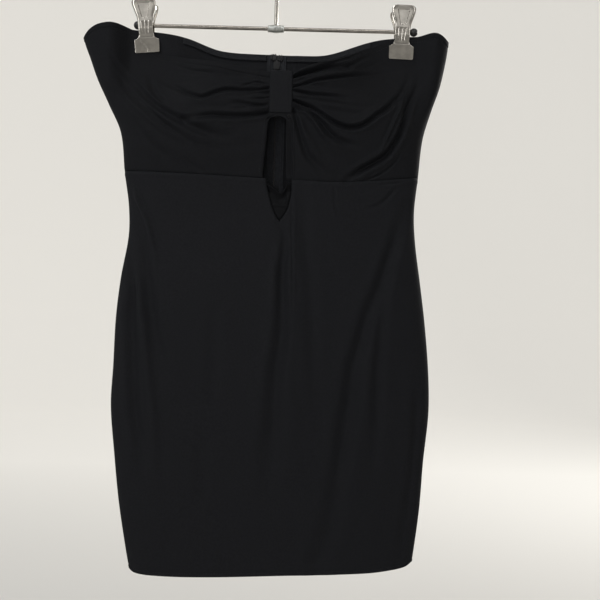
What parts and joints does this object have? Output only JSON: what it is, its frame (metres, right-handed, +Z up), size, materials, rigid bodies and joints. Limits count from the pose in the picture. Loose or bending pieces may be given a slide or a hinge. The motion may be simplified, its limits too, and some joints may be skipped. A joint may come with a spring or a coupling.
{
  "type": "bodycon dress on a clip hanger",
  "caption": "Strapless short bodycon dress with a gathered bust, centre tab, keyhole and back zip, hanging flat from a metal hanger with clips.",
  "frame": {"origin": "inside top of the hanger's hook, where a rail carries it", "axes": "+Z up, the dress's front faces -Y, +X to the right as seen from the front"},
  "size_m": [0.4556, 0.0523, 0.8024],
  "materials": {
    "jersey": "fine black stretch jersey with a soft sheen",
    "elastic": "black woven tape",
    "zip_metal": "black enamelled zip hardware",
    "nickel": "polished nickel plate with slight wear",
    "zinc": "dull zinc-grey casting",
    "rubber": "matt black ball ends"
  },
  "bodies": {
    "dress": {"bust_left": "jersey", "bust_right": "jersey", "bust_tab": "jersey", "skirt_front": "jersey", "keyhole_inset": "jersey", "back_left": "jersey", "back_right": "jersey", "back_band_left": "elastic", "back_band_right": "elastic", "zip_tape_left": "elastic", "zip_tape_right": "elastic", "zip_slider": "zip_metal", "hanger_bar": "nickel", "hanger_hook": "nickel", "hanger_ferrule": "zinc", "bar_end_left": "rubber", "bar_end_right": "rubber", "clip_left_front": "nickel", "clip_left_back": "nickel", "clip_left_spring": "nickel", "clip_right_front": "nickel", "clip_right_back": "nickel", "clip_right_spring": "nickel"},
    "zip_pull": {"zip_pull": "zip_metal"}
  },
  "joints": [
    {"name": "zip_pull_hinge", "type": "hinge", "parent": "dress", "child": "zip_pull", "pos_m": [0.0016, 0.0186, -0.157], "axis": [1, 0, 0], "range_deg": [0, 170]}
  ]
}
